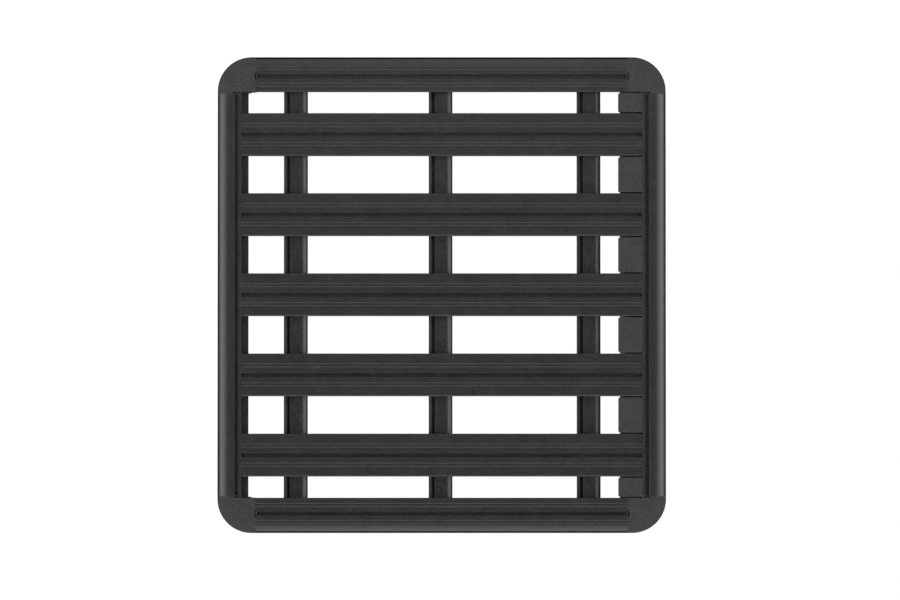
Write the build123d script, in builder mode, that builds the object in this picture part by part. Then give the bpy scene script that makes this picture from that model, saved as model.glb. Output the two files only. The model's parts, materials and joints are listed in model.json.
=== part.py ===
from build123d import *
import math
import os

# Flat platform roof rack: five slats and two side planks lie across three crossbars, and two rails,
# four moulded corners and a row of moulded inserts close the frame around them.
# Millimetres. +X is the front, +Y the left, +Z up. The origin is under the middle of the rack, on the
# undersides of the crossbars.

# Overall sizes
rack_length = 1300.0      # front to rear
rack_width = 1380.0       # side to side
bar_height = 32.0         # crossbars, which carry the planks
plank_height = 26.0       # slats and side planks above the crossbars
frame_height = 46.0       # rails, corners and the skirts of the side planks
wall = 2.2                # wall of every extrusion
edge_size = 0.8           # rounds and bevels along the edges of the extrusions
foot_height = 10.0        # upright foot below the leaning faces
foot_chamfer = 2.0        # lower edge of the foot

# T-slots that are open to the top of the deck and to the underside of the crossbars
slot_mouth = 11.5
slot_inner = 19.5
slot_lip = 3.0
slot_depth = 11.0
bolt_mouth = 8.5          # mouth of the bolt channel under a slat or side plank

# Fine grooves along the planks
groove_width = 1.8
groove_depth = 0.5

# Slats
slat_count = 5
slat_width = 123.7
outer_gap = 62.0          # between a side plank and the slat next to it
slat_shoulder = 4.0       # radius along the top edges
slat_end_gap = 0.5        # from the end of a slat to the rail
slat_grooves = (23.0, 32.0)

# Side planks
side_width = 102.3
side_slot_inset = 57.9    # from the outer edge to the middle of the T-slot
side_grooves = (20.0, 29.0)
side_shoulder = 3.0
band_width = 25.0         # curved outer band
band_drop = 6.2
band_radius = 68.0
crease_radius = 3.0       # between the band and the outer face
skirt_width = 26.0
skirt_lean = 7.0          # how far the outer face leans in from its foot to the band

# Front and rear rails
rail_width = 69.8
rail_slot_inset = 56.3
nose_width = 32.9
nose_turn = 60.0          # angle the bull nose turns down before the outer face
rail_lean = 4.7           # how far the outer face leans in from its foot to the nose
ledge_reach = 20.2        # ledge under the slat ends
ledge_thickness = 4.0

# Crossbars
bar_width = 68.8
front_bar_inset = 223.7   # from the front of the rack to the middle of the front crossbar
rear_bar_inset = 227.0
middle_bar_shift = 3.3    # from the middle of the rack back to the middle crossbar
bar_nose_radius = 18.0
bar_shoulder = 17.8       # from the rear edge to the flat top
bar_slot_inset = 38.0     # from the rear edge to the middle of the underside T-slot
bar_end_inset = 35.0      # from the side of the rack to the end of the extrusion
rear_edge = 1.0           # bevels along the rear
channel_mouth = 6.0       # channel behind the flat top
channel_inner = 16.0
channel_lip = 9.0
channel_depth = 16.0
channel_lead = 7.0        # sloped lead-in from the rear lip
cap_thickness = 5.0
cap_plug = 12.0
cap_chamfer = 1.0

# Moulded corners
corner_length = 112.1     # along X
corner_width = 107.0      # along Y
corner_radius = 98.6
corner_lean = 5.5         # how far the outer face leans in from its foot to the top
corner_wall = 3.5
corner_rib = 2.5
crown_width = 28.0        # slope around the outside of the top
crown_drop = 1.8
crown_bevel = 0.8         # between the slope and the outer face
lip_length = 29.2         # low lip beside the end of the ledge
lip_reach = 2.2
lip_chamfer = 1.5
rib_reach = 95.0          # from the centre of the bend outwards
spigot_length = 45.0
spigot_fit = 0.4          # clearance around what plugs into an extrusion
key_reach = 3.6           # key in the T-slot, beyond the end of the extrusion
key_root = 6.0
key_width = 6.0           # between the lips of the T-slot
key_drop = 0.4            # from the deck down to the top of the key
key_bevel = 2.4           # upper edge at the tip of the key
notch_length = 3.8        # relief behind the key
notch_depth = 8.0

# Moulded inserts behind the front rail
insert_length = 68.8
insert_groove = 3.2       # groove between an insert and its neighbours
insert_wall = 2.5
insert_corner = 5.0
insert_chamfer = 1.0
brim_thickness = 3.0
brim_setback = 5.0        # from the free end of the insert to its brims

deck_top = bar_height + plank_height
frame_bottom = deck_top - frame_height
half_length = rack_length / 2
half_width = rack_width / 2
rail_inner = half_length - rail_width
side_inner = half_width - side_width
corner_x = half_length - corner_length
corner_y = half_width - corner_width
slat_length = 2 * (rail_inner - slat_end_gap)
first_slat = side_inner - outer_gap - slat_width / 2
slat_pitch = 2 * first_slat / (slat_count - 1)
slat_places = [first_slat - index * slat_pitch for index in range(slat_count)]
bar_places = {
    "front": half_length - front_bar_inset,
    "middle": -middle_bar_shift,
    "rear": rear_bar_inset - half_length,
}
side_slot = half_width - side_slot_inset
rail_slot = half_length - rail_slot_inset
nose_radius = (nose_width - rail_lean) / math.sin(math.radians(nose_turn))
core_width = slot_inner + 2 * wall
bar_length = 2 * (half_width - bar_end_inset)
same_place = 0.001        # tolerance for picking points of a sketch

LOW = (Align.CENTER, Align.MIN)
HIGH = (Align.CENTER, Align.MAX)


def cut_channel(centre, face, align, mouth, lip, depth, inner=slot_inner):
    """Cut a T-shaped channel into a section, from the face where its mouth opens."""
    inward = -1 if align == HIGH else 1
    with Locations((centre, face)):
        Rectangle(mouth, depth, align=align, mode=Mode.SUBTRACT)
    with Locations((centre, face + inward * lip)):
        Rectangle(inner, depth - lip, align=align, mode=Mode.SUBTRACT)


def points_at(places):
    """Points of the section at the given places."""
    def is_listed(point):
        return any(abs(point.X - x) + abs(point.Y - y) < same_place for x, y in places)
    return vertices().filter_by(is_listed)


def mouth_edges(centre, face, mouth):
    """Both edges of a channel's mouth."""
    return points_at([(centre - mouth / 2, face), (centre + mouth / 2, face)])


def plank_core(centre):
    """Webs in the middle of a plank: a T-slot on top, and below it the channel for its bolts."""
    with Locations((centre, bar_height)):
        Rectangle(core_width, plank_height, align=LOW)
    cut_channel(centre, deck_top, HIGH, slot_mouth, slot_lip, slot_depth)
    cut_channel(centre, bar_height, LOW, bolt_mouth, wall, plank_height - slot_depth - wall)
    fillet(mouth_edges(centre, deck_top, slot_mouth), edge_size)
    chamfer(mouth_edges(centre, bar_height, bolt_mouth), edge_size)


def fine_grooves(centre, offsets):
    """Shallow V grooves on both sides of a T-slot."""
    with Locations(*[(centre + side * offset, deck_top) for offset in offsets for side in (-1, 1)]):
        Polygon(
            (-groove_width / 2, 0),
            (0, -groove_depth),
            (groove_width / 2, 0),
            align=None,
            mode=Mode.SUBTRACT,
        )


def side_outline():
    """Section of the left side plank, filled: flat top, curved band, leaning skirt and floor."""
    skirt_inner = half_width - skirt_width
    crease = (half_width - skirt_lean, deck_top - band_drop)
    with BuildLine() as outline:
        crown = Line((side_inner, deck_top), (half_width - band_width, deck_top))
        RadiusArc(crown @ 1, crease, band_radius)
        Polyline(
            crease,
            (half_width, frame_bottom + foot_height),
            (half_width, frame_bottom),
            (skirt_inner, frame_bottom),
            (skirt_inner, bar_height),
            (side_inner, bar_height),
            crown @ 0,
        )
    make_face(outline.edges())
    fillet(points_at([(side_inner, deck_top)]), side_shoulder)
    fillet(points_at([crease]), crease_radius)
    chamfer(points_at([(half_width, frame_bottom)]), foot_chamfer)
    chamfer(points_at([(skirt_inner, frame_bottom), (side_inner, bar_height)]), edge_size)


def rail_outline():
    """Section of the front rail without its ledge, filled: flat top, bull nose, leaning face and floor."""
    with BuildLine() as outline:
        crown = Line((rail_inner, deck_top), (half_length - nose_width, deck_top))
        nose = JernArc(crown @ 1, (1, 0), nose_radius, -nose_turn)
        Polyline(
            nose @ 1,
            (half_length, frame_bottom + foot_height),
            (half_length, frame_bottom),
            (rail_inner, frame_bottom),
            crown @ 0,
        )
    make_face(outline.edges())
    fillet(points_at([(rail_inner, deck_top)]), edge_size)
    chamfer(points_at([(rail_inner, frame_bottom)]), edge_size)
    chamfer(points_at([(half_length, frame_bottom)]), foot_chamfer)


def bar_outline(rear):
    """Section of a crossbar, filled: flat top and floor, round nose to the front."""
    front = rear + bar_width
    with BuildLine() as outline:
        top = Line((rear, bar_height), (front - bar_nose_radius, bar_height))
        upper_nose = JernArc(top @ 1, (1, 0), bar_nose_radius, -90)
        lower_nose = JernArc(upper_nose @ 1, (0, -1), bar_height - bar_nose_radius, -90)
        Polyline(lower_nose @ 1, (rear, 0), top @ 0)
    make_face(outline.edges())
    chamfer(points_at([(rear, bar_height), (rear, 0)]), rear_edge)


def finish(piece, label):
    """Name a finished piece and write it to its own file."""
    piece.label = label
    export_step(piece, f"parts/{label}.step")


os.makedirs("parts", exist_ok=True)

# Slats, from left to right
for number, slat_y in enumerate(slat_places, start=1):
    with BuildPart() as slat:
        with BuildSketch(Plane.YZ):
            with Locations((slat_y, bar_height)):
                Rectangle(slat_width, plank_height, align=LOW)
            fillet(vertices().group_by(Axis.Y)[-1], slat_shoulder)
            chamfer(vertices().group_by(Axis.Y)[0], edge_size)
            offset(amount=-wall, mode=Mode.SUBTRACT)
            plank_core(slat_y)
            fine_grooves(slat_y, slat_grooves)
        extrude(amount=slat_length / 2, both=True)
    finish(slat.part, f"slat_{number}")

# Side planks: the skirt is a chamber of its own, closed off by a web
with BuildPart() as left_side_plank:
    with BuildSketch(Plane.YZ):
        side_outline()
        offset(amount=-wall, mode=Mode.SUBTRACT)
        with Locations((half_width - skirt_width, bar_height)):
            Rectangle(wall, plank_height - wall / 2, align=Align.MIN)
        plank_core(side_slot)
        fine_grooves(side_slot, side_grooves)
    extrude(amount=corner_x, both=True)
with BuildPart() as right_side_plank:
    mirror(left_side_plank.part, about=Plane.XZ)
finish(left_side_plank.part, "left_side_plank")
finish(right_side_plank.part, "right_side_plank")

# Rails: a web under the T-slot closes off the nose, and the ledge carries the slat ends
with BuildPart() as front_rail:
    with BuildSketch(Plane.XZ):
        rail_outline()
        offset(amount=-wall, mode=Mode.SUBTRACT)
        with Locations((rail_slot, deck_top)):
            Rectangle(core_width, slot_depth + wall, align=HIGH)
        with Locations((rail_slot + slot_inner / 2, frame_bottom)):
            Rectangle(wall, frame_height - slot_depth, align=Align.MIN)
        with Locations((rail_inner + wall, bar_height)):
            Rectangle(ledge_reach + wall, ledge_thickness, align=Align.MAX)
        cut_channel(rail_slot, deck_top, HIGH, slot_mouth, slot_lip, slot_depth)
        fillet(mouth_edges(rail_slot, deck_top, slot_mouth), edge_size)
        ledge_tip = rail_inner - ledge_reach
        fillet(points_at([(ledge_tip, bar_height), (ledge_tip, bar_height - ledge_thickness)]), edge_size)
    extrude(amount=corner_y, both=True)
with BuildPart() as rear_rail:
    mirror(front_rail.part, about=Plane.YZ)
finish(front_rail.part, "front_rail")
finish(rear_rail.part, "rear_rail")

# Crossbars: a T-slot for the feet below, and a channel behind the flat top
for place, bar_x in bar_places.items():
    bar_rear = bar_x - bar_width / 2
    bar_slot = bar_rear + bar_slot_inset
    channel_x = bar_rear + bar_shoulder - channel_mouth / 2
    block_front = channel_x + channel_inner / 2 + wall
    nose_start = bar_rear + bar_width - bar_nose_radius
    with BuildPart() as crossbar:
        with BuildSketch(Plane.XZ):
            bar_outline(bar_rear)
            offset(amount=-wall, mode=Mode.SUBTRACT)
            with Locations((bar_rear + wall, bar_height - wall / 2)):
                Rectangle(
                    block_front - bar_rear - wall,
                    channel_depth + wall / 2,
                    align=(Align.MIN, Align.MAX),
                )
            with Locations((bar_slot, 0)):
                Rectangle(core_width, slot_depth + wall, align=LOW)
            cut_channel(
                channel_x, bar_height, HIGH, channel_mouth, channel_lip, channel_depth, channel_inner
            )
            with Locations((channel_x - channel_mouth / 2, bar_height)):
                Polygon((-channel_lead, 0), (0, -channel_lead), (0, 0), align=None, mode=Mode.SUBTRACT)
            cut_channel(bar_slot, 0, LOW, slot_mouth, slot_lip, slot_depth)
            fillet(points_at([(channel_x + channel_mouth / 2, bar_height)]), edge_size)
            fillet(mouth_edges(bar_slot, 0, slot_mouth), edge_size)
        extrude(amount=bar_length / 2, both=True)
    finish(crossbar.part, f"{place}_crossbar")

    # End caps: a plate over the end of the bar, and a plug in its main chamber
    with BuildPart() as left_cap:
        with BuildSketch(Plane.XZ.offset(-bar_length / 2)):
            bar_outline(bar_rear)
        extrude(amount=-cap_thickness)
        chamfer(faces().sort_by(Axis.Y)[-1].edges(), cap_chamfer)
        with BuildSketch(Plane.XZ.offset(-bar_length / 2)):
            with Locations((block_front + spigot_fit, bar_height - wall - spigot_fit)):
                Rectangle(
                    nose_start - block_front - spigot_fit,
                    bar_height - slot_depth - 2 * (wall + spigot_fit),
                    align=(Align.MIN, Align.MAX),
                )
        extrude(amount=cap_plug)
    with BuildPart() as right_cap:
        mirror(left_cap.part, about=Plane.XZ)
    finish(left_cap.part, f"{place}_left_bar_cap")
    finish(right_cap.part, f"{place}_right_bar_cap")

# Moulded corner at the front left, mirrored to the other three
rail_end = Plane.XZ.offset(-corner_y)
plank_end = Plane.YZ.offset(corner_x)


def corner_outline():
    """Plan of the front left corner: round outside, flush with the side plank and the rail inside."""
    with BuildLine() as outline:
        inner_edge = Polyline(
            (corner_x, half_width),
            (corner_x, side_inner),
            (rail_inner, side_inner),
            (rail_inner, corner_y),
            (half_length, corner_y),
            (half_length, half_width - corner_radius),
        )
        bend = JernArc(inner_edge @ 1, (0, 1), corner_radius, 90)
        Line(bend @ 1, inner_edge @ 0)
    make_face(outline.edges())


def slot_key(centre):
    """Section of the key that plugs a T-slot, with clearance all round."""
    with Locations((centre, deck_top - key_drop)):
        Rectangle(key_width, slot_depth - key_drop - spigot_fit, align=HIGH)
    with Locations((centre, deck_top - slot_lip - spigot_fit)):
        Rectangle(slot_inner - 2 * spigot_fit, slot_depth - slot_lip - 2 * spigot_fit, align=HIGH)


def is_outer(edge):
    """Whether an edge of the corner lies on the outside of the rack."""
    middle = edge.center()
    on_side = max(middle.X - half_length, middle.Y - half_width) > -same_place
    return on_side or edge.geom_type == GeomType.CIRCLE


def is_key_tip(edge):
    """Whether an edge of the corner is the upper edge at the tip of a key."""
    middle = edge.center()
    level = abs(middle.Z - deck_top + key_drop) < same_place
    reach = max(corner_x - middle.X, corner_y - middle.Y)
    return level and abs(reach - key_reach) < same_place


with BuildPart() as front_left_corner:
    with BuildSketch(Plane.XY.offset(frame_bottom)):
        corner_outline()
    extrude(amount=frame_height)
    chamfer(edges().group_by(Axis.Z)[0].filter_by(is_outer), foot_chamfer)

    # Crowned top and leaning face, cut away along the outer edge
    with BuildSketch(rail_end):
        shoulder = (half_length - corner_lean, deck_top - crown_drop)
        Polygon(
            (half_length - crown_width, deck_top),
            shoulder,
            (half_length, frame_bottom + foot_height),
            (half_length + corner_lean, frame_bottom + foot_height),
            (half_length + corner_lean, deck_top + corner_lean),
            (half_length - crown_width, deck_top + corner_lean),
            align=None,
        )
        chamfer(points_at([shoulder]), crown_bevel)
    with BuildLine(Plane.XY.offset(deck_top)) as outer_edge:
        FilletPolyline(
            (half_length, corner_y),
            (half_length, half_width),
            (corner_x, half_width),
            radius=corner_radius,
        )
    sweep(path=outer_edge.wire(), mode=Mode.SUBTRACT)

    # Open underside with ribs
    with BuildSketch(Plane.XY.offset(frame_bottom)):
        corner_outline()
        offset(amount=-corner_wall - corner_lean, mode=Mode.REPLACE)
        with Locations((half_length - corner_radius, half_width - corner_radius)):
            Rectangle(corner_rib, rib_reach, rotation=-45, align=LOW, mode=Mode.SUBTRACT)
            Rectangle(corner_rib, rib_reach, rotation=-15, align=LOW, mode=Mode.SUBTRACT)
            Rectangle(corner_rib, rib_reach, rotation=-75, align=LOW, mode=Mode.SUBTRACT)
    extrude(amount=frame_height - corner_wall, mode=Mode.SUBTRACT)

    # Low lip that meets the end of the rail's ledge and runs on beside it
    with BuildSketch(Plane.XY.offset(frame_bottom)):
        with Locations((rail_inner, side_inner)):
            Rectangle(lip_length, lip_reach, align=Align.MAX)
            Rectangle(ledge_reach, side_inner - corner_y, align=Align.MAX)
        chamfer(points_at([(rail_inner - lip_length, side_inner - lip_reach)]), lip_chamfer)
    extrude(amount=bar_height - frame_bottom)

    # Spigots in the nose of the rail, in the skirt and in the inner chamber of the side plank
    with BuildSketch(rail_end):
        rail_outline()
        offset(amount=-wall - spigot_fit, mode=Mode.REPLACE)
        with Locations((rail_slot + core_width / 2 + spigot_fit, frame_bottom)):
            Rectangle(rail_width, frame_height, align=Align.MIN, mode=Mode.INTERSECT)
    extrude(amount=spigot_length)
    with BuildSketch(plank_end):
        side_outline()
        offset(amount=-wall - spigot_fit, mode=Mode.REPLACE)
        with Locations((half_width - skirt_width + wall + spigot_fit, frame_bottom)):
            Rectangle(skirt_width, frame_height, align=Align.MIN, mode=Mode.INTERSECT)
    extrude(amount=-spigot_length)
    with BuildSketch(plank_end):
        side_outline()
        offset(amount=-wall - spigot_fit, mode=Mode.REPLACE)
        with Locations((side_slot - core_width / 2 - spigot_fit, frame_bottom)):
            Rectangle(side_width, frame_height, align=(Align.MAX, Align.MIN), mode=Mode.INTERSECT)
    extrude(amount=-spigot_length)

    # Keys in the two T-slots, each with a relief behind it
    with BuildSketch(rail_end.offset(-key_root)):
        slot_key(rail_slot)
    extrude(amount=key_root + key_reach)
    with BuildSketch(plank_end.offset(key_root)):
        slot_key(side_slot)
    extrude(amount=-key_root - key_reach)
    with BuildSketch(Plane.XY.offset(deck_top)):
        with Locations((rail_slot, corner_y)):
            Rectangle(slot_inner, notch_length, align=LOW)
        with Locations((corner_x, side_slot)):
            Rectangle(notch_length, slot_inner, align=(Align.MIN, Align.CENTER))
    extrude(amount=-notch_depth, mode=Mode.SUBTRACT)
    chamfer(edges().filter_by(is_key_tip), key_bevel)
with BuildPart() as front_right_corner:
    mirror(front_left_corner.part, about=Plane.XZ)
with BuildPart() as rear_left_corner:
    mirror(front_left_corner.part, about=Plane.YZ)
with BuildPart() as rear_right_corner:
    mirror(front_right_corner.part, about=Plane.YZ)
finish(front_left_corner.part, "front_left_corner")
finish(front_right_corner.part, "front_right_corner")
finish(rear_left_corner.part, "rear_left_corner")
finish(rear_right_corner.part, "rear_right_corner")

# Moulded inserts in the gaps behind the front rail, from left to right: a hollow body level with the
# deck, and brims below that lie on the ledge and reach the planks on both sides
gap_lefts = [side_inner] + [slat_y - slat_width / 2 for slat_y in slat_places]
gap_rights = [slat_y + slat_width / 2 for slat_y in slat_places] + [-side_inner]
for number, (gap_left, gap_right) in enumerate(zip(gap_lefts, gap_rights), start=1):
    gap_width = gap_left - gap_right
    body_width = gap_width - 2 * insert_groove
    rail_side = (rail_inner, (gap_left + gap_right) / 2)
    with BuildPart() as insert:
        with BuildSketch(Plane.XY.offset(bar_height)):
            with Locations(rail_side):
                Rectangle(insert_length, body_width, align=(Align.MAX, Align.CENTER))
            fillet(vertices().group_by(Axis.X)[0], insert_corner)
        extrude(amount=plank_height)
        top_rim = faces().sort_by(Axis.Z)[-1].edges()
        chamfer(top_rim - top_rim.group_by(Axis.X)[-1], insert_chamfer)
        with BuildSketch(Plane.XY.offset(bar_height)):
            with Locations(rail_side):
                Rectangle(insert_length - brim_setback, gap_width, align=(Align.MAX, Align.CENTER))
        extrude(amount=brim_thickness)
        with BuildSketch(Plane.XY.offset(bar_height)):
            with Locations(rail_side):
                Rectangle(insert_length, body_width, align=(Align.MAX, Align.CENTER))
            fillet(vertices().group_by(Axis.X)[0], insert_corner)
            offset(amount=-insert_wall, mode=Mode.REPLACE)
        extrude(amount=plank_height - insert_wall, mode=Mode.SUBTRACT)
    finish(insert.part, f"insert_{number}")
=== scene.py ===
# %% [markdown]
# # A flat platform roof rack, seen from above
# The rack is a frame of black extrusions with moulded corners. Every solid comes from the packed
# model, which we load first and never move. What is left for Blender is what the eye reads last:
# the finish of each surface, the small fasteners and tabs, the light and the camera.

# %% Load the solids
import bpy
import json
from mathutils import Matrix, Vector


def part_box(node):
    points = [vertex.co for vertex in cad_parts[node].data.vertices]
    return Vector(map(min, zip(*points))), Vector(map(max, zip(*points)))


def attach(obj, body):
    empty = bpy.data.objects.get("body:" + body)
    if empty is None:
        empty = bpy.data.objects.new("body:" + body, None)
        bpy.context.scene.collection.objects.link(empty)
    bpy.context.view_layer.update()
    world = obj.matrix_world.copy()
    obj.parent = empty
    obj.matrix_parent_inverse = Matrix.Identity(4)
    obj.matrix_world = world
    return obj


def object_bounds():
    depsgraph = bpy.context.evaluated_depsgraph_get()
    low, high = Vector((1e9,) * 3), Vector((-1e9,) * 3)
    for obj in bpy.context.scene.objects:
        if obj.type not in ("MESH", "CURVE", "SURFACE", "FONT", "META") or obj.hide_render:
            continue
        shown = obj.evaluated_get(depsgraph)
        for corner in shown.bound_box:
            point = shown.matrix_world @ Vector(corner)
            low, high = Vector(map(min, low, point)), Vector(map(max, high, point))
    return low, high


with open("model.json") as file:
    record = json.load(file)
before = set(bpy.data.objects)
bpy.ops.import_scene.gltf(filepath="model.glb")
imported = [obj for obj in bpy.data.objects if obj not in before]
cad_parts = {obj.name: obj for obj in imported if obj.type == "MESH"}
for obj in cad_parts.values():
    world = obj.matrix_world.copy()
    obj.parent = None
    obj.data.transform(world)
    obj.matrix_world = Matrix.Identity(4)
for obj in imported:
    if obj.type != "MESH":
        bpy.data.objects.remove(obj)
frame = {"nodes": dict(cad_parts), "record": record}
solid_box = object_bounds()
print("solids:", len(frame["nodes"]))
print("their box:", [tuple(round(v, 4) for v in corner) for corner in solid_box])

# %% [markdown]
# ## Two families of pieces
# The extrusions are powder coated aluminium, and the corners, inserts and end caps are moulded
# plastic. We could list the pieces by hand, but the record already says which slot each one takes,
# so we read the two families from it and a later change of the pieces needs no change here.

# %% Sort the pieces by finish
import json
import math

import bpy
import numpy as np
from mathutils import Vector

slot_of = {row["node"]: row["material_slot"] for row in frame["record"]["subparts"]}
coated_pieces = sorted(name for name, slot in slot_of.items() if slot == "powder_coat")
moulded_pieces = sorted(name for name, slot in slot_of.items() if slot == "moulded_plastic")
print("coated:", len(coated_pieces), "moulded:", len(moulded_pieces))

# %% [markdown]
# ## The camera
# The picture looks down on the rack from far off: its edges hardly converge, and a sliver of the
# near side of each slat shows, so the camera leans about one degree. An orthographic camera would
# look almost the same, but a long lens keeps the trace of perspective that a real picture has.

# %% Place the camera above the deck
IMAGE_WIDTH, IMAGE_HEIGHT = 900, 600
METRES_PER_PIXEL = 0.0028916
RACK_CENTRE_PIXEL = (441.703, 294.667)
CAMERA_DISTANCE = 12.0
CAMERA_LEAN = math.radians(1.01)
SENSOR_WIDTH = 36.0
FAR_CLIP = 200.0

camera_data = bpy.data.cameras.new("overhead_camera")
camera_data.sensor_width = SENSOR_WIDTH
camera_data.lens = SENSOR_WIDTH * CAMERA_DISTANCE / (IMAGE_WIDTH * METRES_PER_PIXEL)
camera_data.clip_end = FAR_CLIP
camera = bpy.data.objects.new("overhead_camera", camera_data)
aim_x = (IMAGE_WIDTH / 2 - RACK_CENTRE_PIXEL[0]) * METRES_PER_PIXEL
aim_y = (RACK_CENTRE_PIXEL[1] - IMAGE_HEIGHT / 2) * METRES_PER_PIXEL
camera.location = (
    aim_x,
    aim_y - CAMERA_DISTANCE * math.sin(CAMERA_LEAN),
    solid_box[1].z + CAMERA_DISTANCE * math.cos(CAMERA_LEAN),
)
camera.rotation_euler = (CAMERA_LEAN, 0.0, 0.0)
bpy.context.scene.collection.objects.link(camera)
bpy.context.scene.camera = camera
print("lens:", round(camera_data.lens, 1), "mm, camera at", [round(v, 4) for v in camera.location])

# %% [markdown]
# ## Helpers for shader nodes
# Shader trees get long when every node takes a line to make and a line for each socket. The first
# helper makes one node, sets its options, and for each input takes either a plain value or the
# socket that feeds it. The others name the few nodes that come back again and again, so that a
# material below reads almost like a formula.

# %% Make one shader node
def place(tree, kind, inputs=None, **options):
    """Add a node to a tree. Each input is a plain value, or the output socket that feeds it."""
    node = tree.nodes.new(kind)
    for name, value in options.items():
        setattr(node, name, value)
    for name, value in (inputs or {}).items():
        if isinstance(value, bpy.types.NodeSocket):
            tree.links.new(value, node.inputs[name])
        else:
            node.inputs[name].default_value = value
    return node


def calc(tree, operation, *values):
    """Output of a Math node. MULTIPLY_ADD is the first value times the second, plus the third."""
    return place(tree, "ShaderNodeMath", dict(enumerate(values)), operation=operation).outputs[0]


def remap(tree, value, start, end, onto=(0.0, 1.0), ease="LINEAR"):
    """Carry the range from start to end over onto another range, and stop at its ends."""
    return place(tree, "ShaderNodeMapRange", {
        "Value": value, "From Min": start, "From Max": end, "To Min": onto[0], "To Max": onto[1],
    }, interpolation_type=ease).outputs["Result"]


def noise(tree, where, scale, detail, roughness):
    """Value of a Noise Texture, which keeps near 0.5."""
    return place(tree, "ShaderNodeTexNoise", {
        "Vector": where, "Scale": scale, "Detail": detail, "Roughness": roughness,
    }).outputs["Fac"]


def blend(tree, share, first, second):
    """Colour of a Mix node: the first colour at share 0, the second at share 1."""
    mix = place(tree, "ShaderNodeMix", {0: share, 6: first, 7: second}, data_type="RGBA")
    return mix.outputs[2]


# %% Start a shader group
def new_group(name, inputs, outputs):
    """Start a shader group with named inputs (title, socket kind, value) and float outputs."""
    tree = bpy.data.node_groups.new(name, "ShaderNodeTree")
    for title, kind, value in inputs:
        socket = tree.interface.new_socket(title, in_out="INPUT", socket_type=kind)
        if value is not None:
            socket.default_value = value
    for title in outputs:
        tree.interface.new_socket(title, in_out="OUTPUT", socket_type="NodeSocketFloat")
    return tree, tree.nodes.new("NodeGroupInput"), tree.nodes.new("NodeGroupOutput")


# %% [markdown]
# ## Grain, shared by every finish
# Fine texture powder sets into a skin of tiny hills, and a spark-eroded mould leaves much the same
# on plastic, only coarser. Two noises of different scale make those hills: the first gives their
# size, the second breaks them up. A picture of the texture would tile, and noise never does.

# %% Group: fine_grain
HILL_SHARE, CRUMB_SHARE, CRUMBS_FINER = 0.65, 0.35, 2.7
SPECKLE_RANGE = (0.42, 0.58)


def make_fine_grain():
    """Height = 0.65 of a noise at the grain's scale + 0.35 of one 2.7 times finer.

    Speckle is the middle range of that height, stretched to run from 0 to 1.
    """
    tree, given, result = new_group(
        "fine_grain",
        [("Coordinates", "NodeSocketVector", None), ("Grains per metre", "NodeSocketFloat", 900.0)],
        ["Height", "Speckle"],
    )
    where, grains = given.outputs["Coordinates"], given.outputs["Grains per metre"]
    hills = noise(tree, where, grains, detail=1.0, roughness=0.5)
    finer = calc(tree, "MULTIPLY", grains, CRUMBS_FINER)
    crumbs = noise(tree, where, finer, detail=1.0, roughness=0.5)
    large = calc(tree, "MULTIPLY", hills, HILL_SHARE)
    height = calc(tree, "MULTIPLY_ADD", crumbs, CRUMB_SHARE, large)
    tree.links.new(height, result.inputs["Height"])
    tree.links.new(remap(tree, height, *SPECKLE_RANGE), result.inputs["Speckle"])
    return tree


fine_grain = make_fine_grain()
print("group:", fine_grain.name, [item.name for item in fine_grain.interface.items_tree])

# %% [markdown]
# ## Mottle, shared by every finish
# No sprayed or moulded face is evenly dark: the coat is a little thicker here and the mould a
# little hotter there. A slow noise, a few centimetres across, varies colour and gloss by a few
# percent.

# %% Group: slow_mottle
MOTTLE_RANGE = (0.3, 0.7)


def make_slow_mottle():
    """Mottle = a noise whose patches are Patch metres across, stretched to run from 0 to 1."""
    tree, given, result = new_group(
        "slow_mottle",
        [("Coordinates", "NodeSocketVector", None), ("Patch", "NodeSocketFloat", 0.03)],
        ["Mottle"],
    )
    scale = calc(tree, "DIVIDE", 1.0, given.outputs["Patch"])
    patches = noise(tree, given.outputs["Coordinates"], scale, detail=3.0, roughness=0.6)
    tree.links.new(remap(tree, patches, *MOTTLE_RANGE), result.inputs["Mottle"])
    return tree


slow_mottle = make_slow_mottle()
print("group:", slow_mottle.name, [item.name for item in slow_mottle.interface.items_tree])

# %% [markdown]
# ## Rubbed edges, shared by every finish
# Powder pulls back from a sharp edge as it melts, and hands and straps then polish what is left.
# The Bevel node gives the normal that a rounded edge would have. Where it leans away from the true
# normal there is an edge, and a noise breaks the line up so that it doesn't look drawn.

# %% Group: rubbed_edge
NO_EDGE, FULL_EDGE = 0.98, 0.8
PATCHES_PER_METRE, PATCH_RANGE, PATCH_STRENGTH = 55.0, (0.4, 0.65), (0.15, 1.0)


def make_rubbed_edge():
    """Edge = how far the bevelled normal leans from the true one, where a noise lets it through.

    The lean is the dot product of the two normals: no edge at 0.98, a full one at 0.8.
    """
    tree, given, result = new_group(
        "rubbed_edge",
        [("Coordinates", "NodeSocketVector", None), ("Width", "NodeSocketFloat", 0.001)],
        ["Edge"],
    )
    rounded = place(tree, "ShaderNodeBevel", {"Radius": given.outputs["Width"]}, samples=4)
    facing = place(tree, "ShaderNodeNewGeometry")
    agree = place(tree, "ShaderNodeVectorMath", {
        0: rounded.outputs["Normal"], 1: facing.outputs["Normal"],
    }, operation="DOT_PRODUCT").outputs["Value"]
    lean = remap(tree, agree, NO_EDGE, FULL_EDGE)
    where = given.outputs["Coordinates"]
    patches = noise(tree, where, PATCHES_PER_METRE, detail=4.0, roughness=0.65)
    let_through = remap(tree, patches, *PATCH_RANGE, onto=PATCH_STRENGTH)
    tree.links.new(calc(tree, "MULTIPLY", lean, let_through), result.inputs["Edge"])
    return tree


rubbed_edge = make_rubbed_edge()
print("group:", rubbed_edge.name, [item.name for item in rubbed_edge.interface.items_tree])

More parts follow.
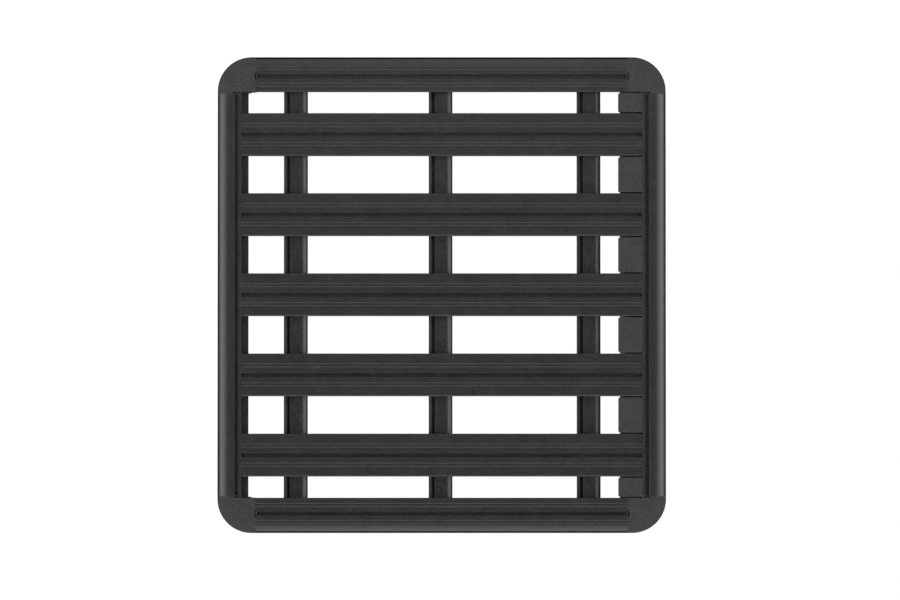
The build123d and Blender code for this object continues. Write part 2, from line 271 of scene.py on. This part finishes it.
# %% [markdown]
# ## One recipe for all three finishes
# Coat, plastic and blackened steel differ in colour, gloss and grain, but they are built alike: the
# speckle and the mottle move the colour between a dark and a light tone, the rubbed edge lightens
# and polishes it, and the grain drives the bump. One function holds that recipe, and each finish
# calls it with values of its own. Whatever is the same all over goes straight onto the shader's
# sockets.

# %% Build a finish from its values
MOTTLE_SHARE, SPECKLE_SHARE = 0.2, 0.8
EDGE_POLISH = -0.12


def make_finish(
    name, dark, light, rubbed, gloss, grains, grain_height, patch, edge_width, metallic, specular,
):
    """A Principled material whose colour, roughness and bump come from the three shared groups."""
    material = bpy.data.materials.new(name)
    material.use_nodes = True
    tree = material.node_tree
    tree.nodes.clear()
    where = place(tree, "ShaderNodeTexCoord").outputs["Object"]
    grain, mottle, edge = (
        place(tree, "ShaderNodeGroup", {"Coordinates": where, title: value}, node_tree=group).outputs
        for group, title, value in (
            (fine_grain, "Grains per metre", grains),
            (slow_mottle, "Patch", patch),
            (rubbed_edge, "Width", edge_width),
        )
    )
    speckle = calc(tree, "MULTIPLY", grain["Speckle"], SPECKLE_SHARE)
    tone = calc(tree, "MULTIPLY_ADD", mottle["Mottle"], MOTTLE_SHARE, speckle)
    body = blend(tree, tone, (*dark, 1.0), (*light, 1.0))
    colour = blend(tree, edge["Edge"], body, (*rubbed, 1.0))
    matte = remap(tree, tone, 0.0, 1.0, onto=gloss)
    rough = calc(tree, "MULTIPLY_ADD", edge["Edge"], EDGE_POLISH, matte)
    bump = place(tree, "ShaderNodeBump", {
        "Height": grain["Height"], "Distance": grain_height, "Strength": 1.0,
    })
    shader = place(tree, "ShaderNodeBsdfPrincipled", {
        "Base Color": colour, "Roughness": rough, "Normal": bump.outputs["Normal"],
        "Metallic": metallic, "Specular IOR Level": specular,
    })
    place(tree, "ShaderNodeOutputMaterial", {"Surface": shader.outputs["BSDF"]})
    return material


# %% Coat the extrusions, mould the plastics, blacken the steel
powder_coat = make_finish(
    "fine_texture_powder_coat", dark=(0.0005, 0.0005, 0.0005), light=(0.024, 0.024, 0.0244),
    rubbed=(0.04, 0.04, 0.041), gloss=(0.34, 0.46), grains=330.0, grain_height=0.0001, patch=0.035,
    edge_width=0.0009, metallic=0.0, specular=0.5,
)
moulded_plastic = make_finish(
    "spark_grained_plastic", dark=(0.006, 0.006, 0.0062), light=(0.029, 0.029, 0.0295),
    rubbed=(0.06, 0.06, 0.061), gloss=(0.55, 0.65), grains=300.0, grain_height=0.00008, patch=0.05,
    edge_width=0.0008, metallic=0.0, specular=0.5,
)
blackened_steel = make_finish(
    "blackened_steel", dark=(0.05, 0.05, 0.052), light=(0.09, 0.09, 0.093),
    rubbed=(0.3, 0.3, 0.31), gloss=(0.3, 0.45), grains=2600.0, grain_height=0.00001, patch=0.006,
    edge_width=0.0004, metallic=1.0, specular=0.5,
)
for names, finish in ((coated_pieces, powder_coat), (moulded_pieces, moulded_plastic)):
    for name in names:
        materials = frame["nodes"][name].data.materials
        materials.clear()
        materials.append(finish)
print("finishes:", powder_coat.name, moulded_plastic.name, blackened_steel.name)

# %% [markdown]
# ## Fasteners, spun from a profile
# Bolts hold the slats to the ledges of the rails, and screws hold the corners and the inserts. All
# of them are turned parts, so a profile spun around its axis gives each kind. One head could be
# modelled by hand and copied, but a formula places every ring of every copy at once, and the
# hexagon of the socket is only another function of the angle.

# %% Draw the profile of a button head
MILLIMETRE = 0.001
WASHER_BEVEL = 0.2
RIM_SHARE, DOME_RINGS, CROWN_REACH = 0.25, 7, 1.45
SOCKET_LEAD, LEAD_DEPTH, SOCKET_DEPTH = 1.08, 0.08, 0.6


def button_head(radius, height, socket, washer_radius, washer_thickness):
    """Rings (radius, depth below the seat, 1 in the socket, else 0), from the seat to the socket.

    The dome is a quarter of an ellipse up to the socket's rim:
    r = radius cos(t), depth = rim + (height - rim) sin(t). The socket's radius is half its flats.
    """
    bevel = WASHER_BEVEL * washer_thickness
    washer = [
        (washer_radius, 0.0, 0), (washer_radius, washer_thickness - bevel, 0),
        (washer_radius - bevel, washer_thickness, 0), (radius, washer_thickness, 0),
    ]
    rim, half_flats = RIM_SHARE * height, socket / 2
    turns = np.linspace(0.0, math.acos(CROWN_REACH * half_flats / radius), DOME_RINGS)
    rise = rim + (height - rim) * np.sin(turns)
    dome = np.stack([radius * np.cos(turns), rise + washer_thickness, 0 * turns], axis=1)
    crown = dome[-1, 1]
    hollow = [
        (SOCKET_LEAD * half_flats, crown, 1), (half_flats, crown - LEAD_DEPTH * height, 1),
        (half_flats, crown - SOCKET_DEPTH * height, 1),
    ]
    return np.concatenate([washer, dome, hollow])


bolt_rings = button_head(
    radius=6.5, height=3.8, socket=4.0, washer_radius=8.0, washer_thickness=1.6,
)
screw_rings = button_head(
    radius=4.4, height=2.6, socket=2.5, washer_radius=4.8, washer_thickness=0.5,
)
print("rings of a bolt:", len(bolt_rings), "and of a screw:", len(screw_rings))

# %% [markdown]
# Spinning turns each ring into a row of points, a circle for the head and a hexagon in the socket.
# We could let Blender's Screw modifier do it, but it would turn the socket round as well.

# %% Spin a profile into rows of points
SECTORS = 36


def hexagon(angles):
    """Radius of a hexagon whose flats lie 1 from its middle: 1 / cos(angle to the nearest flat)."""
    return 1.0 / np.cos((angles + math.pi / 6) % (math.pi / 3) - math.pi / 6)


def spin(rings):
    """Rows of points around Z: x = r s(a) cos(a), y = r s(a) sin(a), where s is 1 or the hexagon."""
    angles = 2 * math.pi * np.arange(SECTORS) / SECTORS
    reach = rings[:, :1] * (1 + rings[:, 2:] * (hexagon(angles) - 1))
    depth = np.broadcast_to(-rings[:, 1:2], reach.shape)
    return np.stack([reach * np.cos(angles), reach * np.sin(angles), depth], axis=-1)


bolt_rows, screw_rows = (
    spin(rings * (MILLIMETRE, MILLIMETRE, 1.0)) for rings in (bolt_rings, screw_rings)
)
print("rows of a bolt:", bolt_rows.shape, "and of a screw:", screw_rows.shape)

# %% [markdown]
# A skin joins neighbouring rows with quads, and a point in the middle of the first and the last row
# closes the ends. The signed volume tells whether the faces look outwards: it must be positive. All
# like pieces share one mesh, because they are one thing to a reader of the model.

# %% Skin rows of points, and set copies of them on their seats
SHARP_ANGLE = math.radians(35)


def skin(rows):
    """Points and faces of closed rows of points, whose means close the first and the last row."""
    count, around = rows.shape[:2]
    points = np.concatenate([rows.reshape(-1, 3), rows[[0, -1]].mean(axis=1)])
    start = np.arange(count - 1)[:, None] * around
    here, after = np.arange(around), (np.arange(around) + 1) % around
    below = start + around
    quads = np.stack([start + here, below + here, below + after, start + after], axis=-1)
    last = (count - 1) * around
    first_end = np.stack([np.full(around, len(points) - 2), here, after], axis=-1)
    last_end = np.stack([np.full(around, len(points) - 1), last + after, last + here], axis=-1)
    return points, quads.reshape(-1, 4), np.concatenate([first_end, last_end])


def signed_volume(points, quads, triangles):
    """Sum of the tetrahedra from the origin to each triangle: positive if faces look outwards."""
    corners = points[np.concatenate([quads[:, :3], quads[:, [0, 2, 3]], triangles])]
    return np.einsum("ij,ij->", corners[:, 0], np.cross(corners[:, 1], corners[:, 2])) / 6


def add_copies(name, rows, seats, finish):
    """One mesh of like pieces, each with its own origin on a seat."""
    points, quads, triangles = skin(rows)
    seats = np.array(seats)
    shift = (np.arange(len(seats)) * len(points))[:, None, None]
    mesh = bpy.data.meshes.new(name)
    mesh.from_pydata(
        (points + seats[:, None]).reshape(-1, 3).tolist(), [],
        (quads + shift).reshape(-1, 4).tolist() + (triangles + shift).reshape(-1, 3).tolist(),
    )
    mesh.shade_smooth()
    mesh.set_sharp_from_angle(angle=SHARP_ANGLE)
    mesh.materials.append(finish)
    piece = bpy.data.objects.new(name, mesh)
    bpy.context.scene.collection.objects.link(piece)
    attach(piece, "root")
    cubic_mm = signed_volume(points, quads, triangles) / MILLIMETRE ** 3
    drawn = (2 * len(quads) + len(triangles)) * len(seats)
    print(f"{name}: {len(seats)} of {cubic_mm:.0f} mm3, {drawn} triangles")


# %% [markdown]
# The seats follow from the boxes of the solids, so they move with them. A bolt sits in the middle
# of the strip where a slat lies on the ledge. Two screws under each insert share that strip, and
# two under the end of each rail and side plank reach up into the spigots of the corner.

# %% Seat the bolts and screws
LEDGE_THICKNESS = 0.004
INSERT_SCREWS = (0.25, 0.75)
SPIGOT_SCREWS = (0.012, 0.034)
RAIL_SCREW_INSET, SKIRT_SCREW_INSET = 0.022, 0.013

slat_boxes = [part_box(name) for name in coated_pieces if name.startswith("slat_")]
insert_boxes = [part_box(name) for name in moulded_pieces if name.startswith("insert_")]
rail_box, plank_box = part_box("front_rail"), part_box("left_side_plank")
ledge_x = (rail_box[0].x + slat_boxes[0][1].x) / 2
ledge_seat = slat_boxes[0][0].z - LEDGE_THICKNESS
bolt_seats = [
    (end * ledge_x, (low.y + high.y) / 2, ledge_seat)
    for low, high in slat_boxes for end in (-1, 1)
]
insert_seats = [
    (ledge_x, low.y + share * (high.y - low.y), ledge_seat)
    for low, high in insert_boxes for share in INSERT_SCREWS
]
corner_seats = [
    (end * x, side * y, rail_box[0].z)
    for end in (-1, 1) for side in (-1, 1) for along in SPIGOT_SCREWS
    for x, y in (
        (rail_box[1].x - RAIL_SCREW_INSET, rail_box[1].y - along),
        (plank_box[1].x - along, plank_box[1].y - SKIRT_SCREW_INSET),
    )
]
add_copies("ledge_bolts", bolt_rows, bolt_seats, blackened_steel)
add_copies("insert_screws", screw_rows, insert_seats, blackened_steel)
add_copies("corner_screws", screw_rows, corner_seats, blackened_steel)

# %% [markdown]
# ## Tabs beside some of the inserts
# A narrow groove parts each insert from its slats. At the free ends of three of the inserts a
# moulded tab fills the groove level with the deck, some longer than others. A tab is a bar with
# soft edges, so its section is a superellipse, which runs from an ellipse to a box with one
# exponent. The same skin closes it. Its root sits a little way inside the insert, as one moulding
# would, and it stops short of the slat.

# %% Sweep the tabs along the grooves
GROOVE, TAB_ROOT, TAB_GAP = 0.0032, 0.0003, 0.0002
TAB_DROP, TAB_HEIGHT, TAB_START = 0.0003, 0.010, 0.005
TAB_BEVEL, TAB_EXPONENT = 0.1, 6
TABS = {
    "insert_3": {"right": 0.010},
    "insert_4": {"left": 0.016, "right": 0.016},
    "insert_5": {"left": 0.007},
}


def soft_bar(length, width, height):
    """Rows of a bar along X below z = 0: y = w/2 q(cos a), z = h/2 (q(sin a) - 1).

    Here q(v) = v |v|^(2/n - 1). The exponent n = 6 gives flat sides and soft edges, and both ends
    shrink by a bevel. The angle a runs backwards, so that the skin looks outwards.
    """
    angles = -2 * math.pi * np.arange(SECTORS) / SECTORS
    across, up = (
        np.sign(v) * np.abs(v) ** (2 / TAB_EXPONENT) for v in (np.cos(angles), np.sin(angles))
    )
    bevel = TAB_BEVEL * width
    along = np.array([0.0, bevel, length - bevel, length])[:, None]
    shrink = np.array([bevel, 0.0, 0.0, bevel])[:, None]
    y = (width / 2 - shrink) * across
    z = (height / 2 - shrink) * up - height / 2
    return np.stack([np.broadcast_to(along, y.shape), y, z], axis=-1)


tab_width = GROOVE + TAB_ROOT - TAB_GAP
for insert, lengths in TABS.items():
    low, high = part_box(insert)
    middle_of = {"left": high.y - TAB_GAP - tab_width / 2, "right": low.y + TAB_GAP + tab_width / 2}
    for side, length in lengths.items():
        rows = soft_bar(length, tab_width, TAB_HEIGHT)
        seat = (low.x + TAB_START, middle_of[side], high.z - TAB_DROP)
        add_copies(f"{insert}_{side}_tab", rows, [seat], moulded_plastic)

# %% [markdown]
# ## The studio
# Satin black shows little of its own colour: what we see on it is the room. Here that room is a
# tent with tall white cloths at the left, at the right and on the near side, a dimmer one hung
# higher on the far side, and a dark ground. Lamps could stand in for the cloths, but the world can
# be painted by direction, and then it lights every piece alike and without grain. Each cloth is a
# band of angles from the zenith, strongest straight ahead.

# %% Describe a cloth by direction
CLOTH_FALLOFF = 8.0


def band(tree, angle, start, full, fade, end):
    """0 up to start, easing to 1 at full, and from fade back to 0 at end, in degrees from zenith."""
    into = remap(tree, angle, start, full, ease="SMOOTHSTEP")
    out_of = remap(tree, angle, fade, end, onto=(1.0, 0.0), ease="SMOOTHSTEP")
    return calc(tree, "MULTIPLY", into, out_of)


def ahead(tree, flat_heading, towards):
    """cos(turn) to the 8th, where turn is the angle between a level heading and the cloth."""
    facing = place(tree, "ShaderNodeVectorMath", {0: flat_heading, 1: towards},
                   operation="DOT_PRODUCT").outputs["Value"]
    return calc(tree, "POWER", calc(tree, "MAXIMUM", facing, 0.0), CLOTH_FALLOFF)


# %% Paint the cloths into the world
CLOTHS = {
    "left": ((-1.0, 0.0, 0.0), (0.0, 60.0, 92.0, 106.0), 4.0),
    "right": ((1.0, 0.0, 0.0), (0.0, 60.0, 92.0, 106.0), 4.0),
    "near": ((0.0, -1.0, 0.0), (14.0, 58.0, 98.0, 112.0), 3.6),
    "far": ((0.0, 1.0, 0.0), (26.0, 44.0, 64.0, 84.0), 1.6),
}
WHITE = (1.0, 1.0, 1.0, 1.0)

studio = bpy.data.worlds.new("studio")
studio.use_nodes = True
bpy.context.scene.world = studio
tree = studio.node_tree
tree.nodes.clear()
heading = place(tree, "ShaderNodeTexCoord").outputs["Generated"]
upward = place(tree, "ShaderNodeSeparateXYZ", {"Vector": heading}).outputs["Z"]
zenith_angle = calc(tree, "DEGREES", calc(tree, "ARCCOSINE", upward))
flat = place(tree, "ShaderNodeVectorMath", {0: heading, 1: (1.0, 1.0, 0.0)}, operation="MULTIPLY")
level = place(tree, "ShaderNodeVectorMath", {0: flat.outputs["Vector"]}, operation="NORMALIZE")
total = 0.0
for towards, angles, strength in CLOTHS.values():
    height_share = band(tree, zenith_angle, *angles)
    turn_share = ahead(tree, level.outputs["Vector"], towards)
    lit = calc(tree, "MULTIPLY", height_share, turn_share)
    total = calc(tree, "MULTIPLY_ADD", lit, strength, total)
background = place(tree, "ShaderNodeBackground", {"Color": WHITE, "Strength": total})
place(tree, "ShaderNodeOutputWorld", {"Surface": background.outputs["Background"]})
bpy.context.scene.view_settings.view_transform = "Standard"
print("world:", studio.name, "with", len(CLOTHS), "cloths")

# %% [markdown]
# Two lamps are left. A softbox high on the far side is mirrored by the curved band of the far
# plank, which leans just enough for it, and so that band looks lighter than the flat beside it. A
# second one lies below the floor and shows the bolts and channels to a camera underneath. Upright
# sides would mirror it at a glancing angle, so it is kept out of reflections. Power is what Blender
# asks for, but each softbox is set by the brightness of its face, so the helper turns one into
# the other.

# %% Hang the softboxes
def add_softbox(name, place_at, aim, size, radiance):
    """A rectangular light whose face has the given radiance: power = pi * area * radiance."""
    data = bpy.data.lights.new(name, "AREA")
    data.shape = "RECTANGLE"
    data.size, data.size_y = size
    data.energy = math.pi * size[0] * size[1] * radiance
    lamp = bpy.data.objects.new(name, data)
    lamp.location = place_at
    direction = Vector(aim) - Vector(place_at)
    lamp.rotation_euler = direction.to_track_quat("-Z", "Y").to_euler()
    lamp.visible_camera = False
    bpy.context.scene.collection.objects.link(lamp)
    print(f"{name}: {data.energy:.1f} W")
    return lamp


RACK_MIDDLE = (0.0, 0.0, 0.0)
add_softbox("far_softbox", (0.0, 1.5, 2.3), RACK_MIDDLE, size=(1.4, 1.1), radiance=1.3)
low_softbox = add_softbox(
    "low_softbox", (0.0, 0.0, -2.0), RACK_MIDDLE, size=(2.6, 2.6), radiance=4.0,
)
low_softbox.visible_glossy = False

# %% [markdown]
# ## The floor
# The rack lies on plain white, without a shadow worth seeing. The floor glows by itself, so the
# gaps between the slats stay white, and it is hidden from the rack's own reflections: a white
# ground would brighten every side that leans outwards. Its back is clear and it casts no shadow, so
# that neither a view from below nor the lamp down there is blocked.

# %% Lay the floor
FLOOR_HALF, FLOOR_DROP = 30.0, 0.0005
floor_mesh = bpy.data.meshes.new("studio_floor")
corners = FLOOR_HALF * np.array([[-1, -1, 0], [1, -1, 0], [1, 1, 0], [-1, 1, 0]], float)
corners[:, 2] = -FLOOR_DROP
floor_mesh.from_pydata(corners.tolist(), [], [(0, 1, 2, 3)])
floor = bpy.data.objects.new("studio_floor", floor_mesh)
bpy.context.scene.collection.objects.link(floor)
floor.visible_diffuse = False
floor.visible_glossy = False
floor.visible_shadow = False
print("floor:", 2 * FLOOR_HALF, "m square")

# %% Let the floor glow
FLOOR_GREY = (0.02, 0.02, 0.02, 1.0)
floor_finish = bpy.data.materials.new("pale_floor")
floor_finish.use_nodes = True
tree = floor_finish.node_tree
tree.nodes.clear()
paint = place(tree, "ShaderNodeBsdfPrincipled", {
    "Base Color": FLOOR_GREY, "Roughness": 0.9, "Specular IOR Level": 0.0,
    "Emission Color": WHITE, "Emission Strength": 1.0,
})
behind = place(tree, "ShaderNodeNewGeometry").outputs["Backfacing"]
clear = place(tree, "ShaderNodeBsdfTransparent")
mixed = place(tree, "ShaderNodeMixShader", {
    0: behind, 1: paint.outputs["BSDF"], 2: clear.outputs["BSDF"],
})
place(tree, "ShaderNodeOutputMaterial", {"Surface": mixed.outputs["Shader"]})
floor_mesh.materials.append(floor_finish)
print("floor finish:", floor_finish.name)
